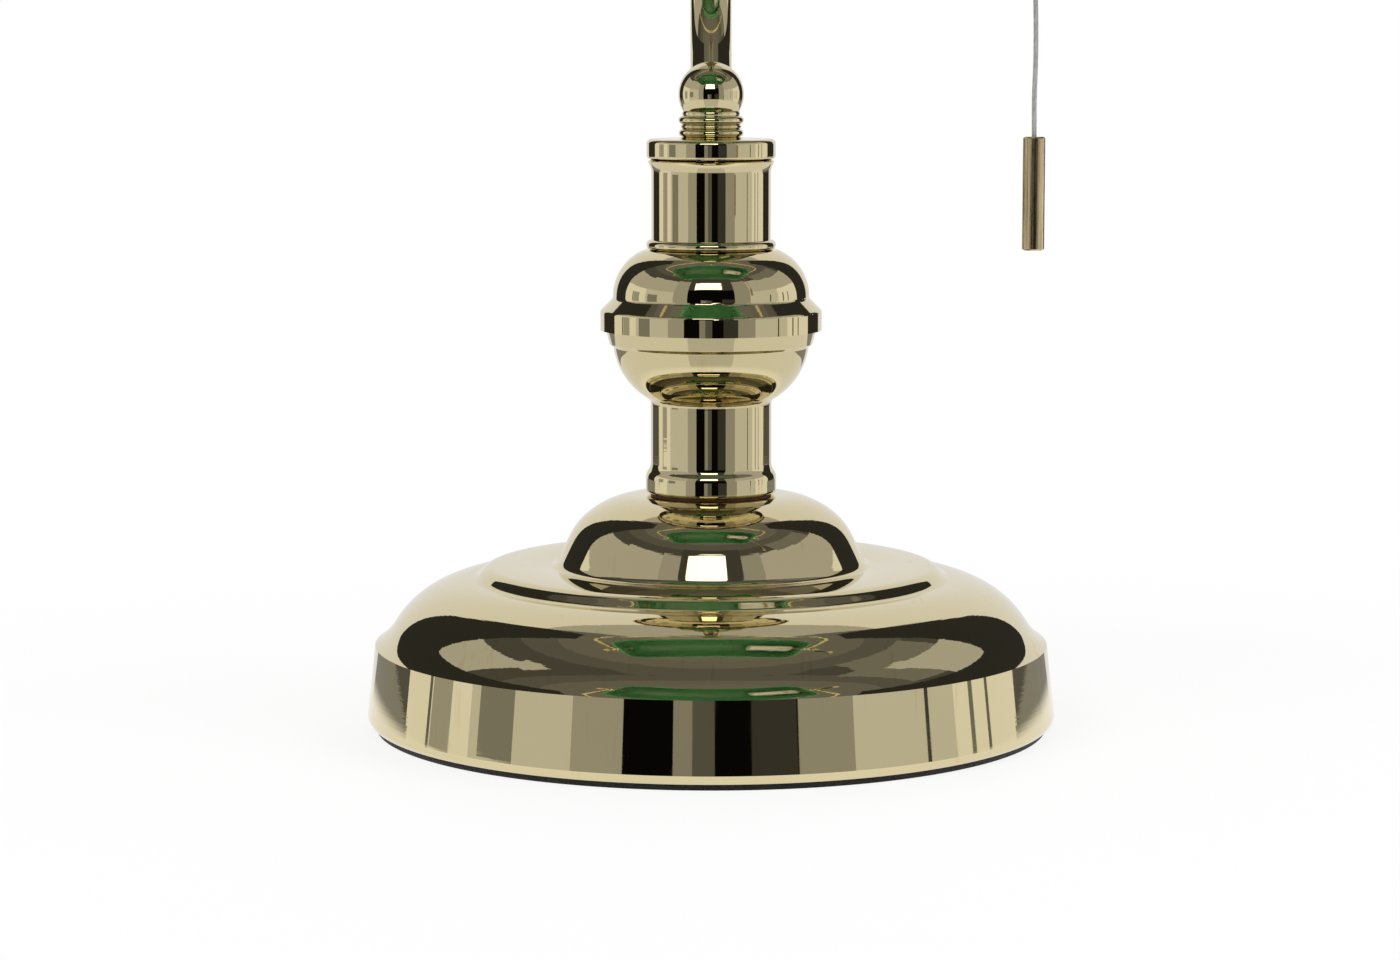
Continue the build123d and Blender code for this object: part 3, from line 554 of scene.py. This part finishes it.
cordSet = {  # a woven sleeve that hangs from the plunger and holds the weight
    "line": [
        (0.0847, 0.33271), (0.08475, 0.30793), (0.08457, 0.27819), (0.0847, 0.25011),
        (0.08438, 0.23193), (0.08434, 0.21872), (0.08483, 0.2055), (0.08493, 0.19311),
        (0.08457, 0.1832), (0.0847, 0.17493), (0.0847, 0.1675),
    ],
    "depth": -0.088436,
    "order": 3,
    "smoothness": 24,
    "radius": 0.00065,
    "relief": 0.12,
    "fullness": 0.7,  # under 1 the strands are rounder
    "strands": 4,
    "pitch": 0.0042,
    "step": 0.00016,
    "sides": 24,
}


def cordRoute(use):
    line = bpy.data.curves.new("cordRoute", "CURVE")
    line.dimensions = "3D"
    line.resolution_u = use["smoothness"]
    spline = line.splines.new("NURBS")
    spline.points.add(len(use["line"]) - 1)
    for point, (x, z) in zip(spline.points, use["line"]):
        point.co = (x, use["depth"], z, 1)
    spline.order_u = use["order"]
    spline.use_endpoint_u = True
    holder = bpy.data.objects.new("cordRoute", line)
    scene.collection.objects.link(holder)
    bpy.context.view_layer.update()
    rough = holder.to_mesh()
    points = [vertex.co.copy() for vertex in rough.vertices]
    holder.to_mesh_clear()
    bpy.data.objects.remove(holder)
    bpy.data.curves.remove(line)
    route = [points[0]]
    carry = 0.0
    for low, high in zip(points, points[1:]):
        span = (high - low).length
        reach = use["step"] - carry
        while reach <= span:
            route.append(low.lerp(high, reach / span))
            reach += use["step"]
        carry = span - (reach - use["step"])
    route.append(points[-1])
    return route


def weavePoints(route, use):
    points = []
    for ring, centre in enumerate(route):
        turn = 2 * math.pi * ring * use["step"] / use["pitch"]
        for side in range(use["sides"]):
            angle = 2 * math.pi * side / use["sides"]
            over = abs(math.cos(use["strands"] * angle / 2 + turn))
            under = abs(math.cos(use["strands"] * angle / 2 - turn))
            sunk = 1 - max(over, under) ** use["fullness"]
            radius = use["radius"] * (1 - use["relief"] * sunk)
            x = centre.x + radius * math.cos(angle)
            y = centre.y + radius * math.sin(angle)
            points.append((x, y, centre.z))
    return points


def tubeFaces(ringCount, sides):
    faces = []
    for ring in range(ringCount - 1):
        for side in range(sides):
            low = ring * sides + side
            beside = ring * sides + (side + 1) % sides
            faces.append((low, low + sides, beside + sides, beside))
    faces.append(tuple(range(sides)))
    faces.append(tuple(reversed(range((ringCount - 1) * sides, ringCount * sides))))
    return faces


def makeCord(use):
    route = cordRoute(use)
    mesh = bpy.data.meshes.new("pullCord")
    mesh.from_pydata(weavePoints(route, use), [], tubeFaces(len(route), use["sides"]))
    mesh.shade_smooth()
    mesh.materials.append(finishes["cord"])
    cord = bpy.data.objects.new("pullCord", mesh)
    scene.collection.objects.link(cord)
    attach(cord, "pull")
    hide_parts("pull_cord")


makeCord(cordSet)

studioSet = {
    "floor": {
        "half": 4.0,
        "colour": (0.85, 0.85, 0.84, 1),
        "fade": (0.1, 0.42),  # from the lamp outwards the floor whitens between these distances
        "nearGlow": 0.82,
        "mirrored": (0.125, 0.175),  # the brass mirrors the floor only as far as this
    },
    "air": {"lighting": 0.55, "seen": 1.0},
    "lamps": {  # place, size, power
        "keyLamp": ((-0.9, -1.1, 1.5), 0.9, 16.0),
        "fillLamp": ((1.2, -0.5, 1.1), 0.9, 9.0),
        "backLamp": ((0.2, 1.3, 1.4), 1.0, 9.0),
    },
    "lampTarget": (0, 0, 0.15),
    "softbox": {
        "y": -0.5,
        "left": -0.19,
        "right": 0.115,
        "low": 0.365,
        "high": 0.55,
        "brightness": 2.6,
    },
    # the cards hang on a sphere round the lamp, in layers, where only mirrored rays see them
    "cardRadius": 1.75,
    "cardCentre": 0.1,
    "layerGap": 0.04,
    "columns": 48,
    "rise": 4.0,
    # brightness, layer, rows of (height, left edge, right edge) in degrees, 0 in front
    "cards": {
        "lowAir": (0.82, -1, [(-60, -180, 180), (-14, -180, 180)]),
        "ceilingEdge": (0.08, -1, [(35, -180, 180), (49, -180, 180)]),
        "ceilingLow": (0.115, -1, [(49, -180, 180), (58, -180, 180)]),
        "ceilingSlope": (0.155, -1, [(58, -180, 180), (67, -180, 180)]),
        "ceilingTop": (0.17, -1, [(67, -180, 180), (89.5, -180, 180)]),
        "ceilingRight": (0.2, 0, [(38, 66, 112), (50, 58, 112)]),
        "frontLow": (0.6, 0, [(-40, -28, 27.5), (-14, -28, 27.5)]),
        "frontBlack": (0.003, 0, [(-14, -28, 27.5), (25, -28, 27.5)]),
        "frontUpper": (0.06, 0, [(25, -28, 27.5), (50, -28, 27.5)]),
        "backdrop": (0.84, 0, [(-14, 119, 241), (52, 119, 241)]),
        "backUpper": (0.46, 0, [(52, 138, 222), (72, 140, 220)]),
        "backTop": (0.25, 0, [(72, 140, 220), (82, 140, 220)]),
    },
    # the bright walls beside the lamp: left edge, right edge, top, brightness
    "walls": {
        "leftNear": (-45, -28, 42.5, 0.4),
        "leftMiddle": (-84, -45, 41, 0.65),
        "leftFar": (-119, -84, 38, 0.9),
        "rightNear": (27.5, 46, 42.5, 0.35),
        "rightMiddle": (46, 85, 41, 0.65),
        "rightFar": (85, 119, 38, 0.9),
    },
    "wallLayer": 0,
    "wallFoot": -14,
    "wallSplit": 18,  # above this height a wall is no brighter than wallUpper
    "wallUpper": 0.5,
    # the dark flags stand alike on both sides: brightness, rows of (height, front edge, back edge)
    "flags": {
        "Flag": (
            0.03,
            [(-4.5, 119, 147), (25, 119, 147), (40, 118, 143), (55, 117, 138), (62, 118, 133)],
        ),
        "FlagFoot": (0.11, [(-7.5, 118, 148), (-4.5, 119, 147)]),
        "FlagStand": (0.27, [(-14, 117, 157), (-7.5, 117, 153)]),
    },
    "flagLayer": 1,
    # upright strips for the rim and the sleeves: brightness, left edge, right edge, foot, top
    "strips": {
        "paleSlit": (0.28, -12, -6, -14, 3),
        "dimSlit": (0.11, -6, 1, -14, 3),
        "dimRight": (0.045, 12.5, 27, -14, 4),
        "leftDim": (0.25, -80, -66, -4.8, 10),
        "leftBand": (0.4, -103, -93, -7, 10),
        "leftLine": (0.15, -105, -103.5, -8, 10),
        "rightLine": (0.06, 72.5, 74, -8, 10),
        "rightBand": (0.2, 92, 94, -8, 10),
        "rightFarLine": (0.15, 100.5, 102, -8, 10),
    },
    "stripLayer": 2,
}


def newSurface(name):
    material, tree = newMaterial(name)
    tree.nodes.clear()
    leave = addNode(tree, "ShaderNodeOutputMaterial")
    return material, tree, leave


def seenMask(tree):
    path = addNode(tree, "ShaderNodeLightPath")
    direct = combine(tree, "MAXIMUM", path.outputs["Is Camera Ray"], path.outputs["Is Glossy Ray"])
    return combine(tree, "MAXIMUM", direct, path.outputs["Is Transmission Ray"])


def radialShare(tree, near, far, low, high):
    place = addNode(tree, "ShaderNodeNewGeometry")
    reach = addNode(tree, "ShaderNodeVectorMath", operation="LENGTH")
    link(tree, place.outputs["Position"], reach.inputs[0])
    share = addNode(tree, "ShaderNodeMapRange", interpolation_type="SMOOTHSTEP")
    setSockets(share, {"From Min": near, "From Max": far, "To Min": low, "To Max": high})
    link(tree, reach.outputs["Value"], share.inputs["Value"])
    return share.outputs[0]


def mixSurfaces(tree, share, first, second):
    mix = addNode(tree, "ShaderNodeMixShader")
    link(tree, share, mix.inputs[0])
    link(tree, first.outputs[0], mix.inputs[1])
    link(tree, second.outputs[0], mix.inputs[2])
    return mix


def makeFloor(use):
    half = use["half"]
    corners = [(-half, -half, 0), (half, -half, 0), (half, half, 0), (-half, half, 0)]
    mesh = bpy.data.meshes.new("floor")
    mesh.from_pydata(corners, [], [(0, 1, 2, 3)])
    floor = bpy.data.objects.new("floor", mesh)
    scene.collection.objects.link(floor)
    material, tree, leave = newSurface("paleFloor")
    body = addNode(tree, "ShaderNodeBsdfDiffuse")
    setSockets(body, {"Color": use["colour"]})
    glow = addNode(tree, "ShaderNodeEmission")
    fade = radialShare(tree, *use["fade"], use["nearGlow"], 1.0)
    lit = mixSurfaces(tree, combine(tree, "MULTIPLY", seenMask(tree), fade), body, glow)
    path = addNode(tree, "ShaderNodeLightPath")
    edge = radialShare(tree, *use["mirrored"], 0.0, 1.0)
    beyond = combine(tree, "MULTIPLY", path.outputs["Is Glossy Ray"], edge)
    clear = addNode(tree, "ShaderNodeBsdfTransparent")
    last = mixSurfaces(tree, beyond, lit, clear)
    link(tree, last.outputs[0], leave.inputs["Surface"])
    mesh.materials.append(material)


def makeGlow(name, brightness):
    material, tree, leave = newSurface(name)
    glow = addNode(tree, "ShaderNodeEmission")
    setSockets(glow, {"Color": (brightness, brightness, brightness, 1)})
    link(tree, glow.outputs[0], leave.inputs["Surface"])
    return material


def standCard(name, points, faces, brightness):
    mesh = bpy.data.meshes.new(name)
    mesh.from_pydata(points, [], faces)
    mesh.materials.append(makeGlow(name, brightness))
    card = bpy.data.objects.new(name, mesh)
    scene.collection.objects.link(card)
    card.visible_camera = False
    card.visible_diffuse = False
    card.visible_transmission = False
    card.visible_shadow = False


def onSphere(use, layer, azimuth, height):
    radius = use["cardRadius"] - use["layerGap"] * layer
    turn, lift = math.radians(azimuth), math.radians(height)
    flat = radius * math.cos(lift)
    level = use["cardCentre"] + radius * math.sin(lift)
    return (flat * math.sin(turn), -flat * math.cos(turn), level)


def makeCard(use, name, brightness, layer, rows):
    columns = use["columns"]
    levels = [rows[0]]
    for low, high in zip(rows, rows[1:]):
        steps = math.ceil((high[0] - low[0]) / use["rise"])
        for step in range(1, steps + 1):
            levels.append([a + (b - a) * step / steps for a, b in zip(low, high)])
    points = []
    for height, left, right in levels:
        for column in range(columns + 1):
            azimuth = left + (right - left) * column / columns
            points.append(onSphere(use, layer, azimuth, height))
    faces = []
    for row in range(len(levels) - 1):
        for column in range(columns):
            low = row * (columns + 1) + column
            faces.append((low, low + 1, low + columns + 2, low + columns + 1))
    standCard(name, points, faces, brightness)


def makeSoftbox(use):
    corners = [(side, height) for height in ("low", "high") for side in ("left", "right")]
    points = [(use[side], use["y"], use[height]) for side, height in corners]
    standCard("softbox", points, [(0, 1, 3, 2)], use["brightness"])


def makeCards(use):
    for name, (brightness, layer, rows) in use["cards"].items():
        makeCard(use, name, brightness, layer, rows)
    foot, split, layer = use["wallFoot"], use["wallSplit"], use["wallLayer"]
    for name, (left, right, top, brightness) in use["walls"].items():
        upper = min(brightness, use["wallUpper"])
        below = [(foot, left, right), (split, left, right)]
        above = [(split, left, right), (top, left, right)]
        makeCard(use, name + "Below", brightness, layer, below)
        makeCard(use, name + "Above", upper, layer, above)
    for name, (brightness, rows) in use["flags"].items():
        mirrored = [(height, -back, -front) for height, front, back in rows]
        makeCard(use, "right" + name, brightness, use["flagLayer"], rows)
        makeCard(use, "left" + name, brightness, use["flagLayer"], mirrored)
    for name, (brightness, left, right, low, high) in use["strips"].items():
        rows = [(low, left, right), (high, left, right)]
        makeCard(use, name, brightness, use["stripLayer"], rows)


def makeAir(use):
    world = bpy.data.worlds.new("studioAir")
    scene.world = world
    world.use_nodes = True
    tree = world.node_tree
    air = tree.nodes["Background"]
    setSockets(air, {"Color": (1, 1, 1, 1)})
    level = addNode(tree, "ShaderNodeMapRange")
    setSockets(level, {"To Min": use["lighting"], "To Max": use["seen"]})
    link(tree, seenMask(tree), level.inputs["Value"])
    link(tree, level.outputs[0], air.inputs["Strength"])


def makeLamps(use):
    for name, (place, size, power) in use["lamps"].items():
        data = bpy.data.lights.new(name, "AREA")
        data.size = size
        data.energy = power
        lamp = bpy.data.objects.new(name, data)
        placeAndAim(lamp, place, use["lampTarget"])
        lamp.visible_glossy = False


makeFloor(studioSet["floor"])
makeSoftbox(studioSet["softbox"])
makeCards(studioSet)
makeAir(studioSet["air"])
makeLamps(studioSet)
print("studio set")
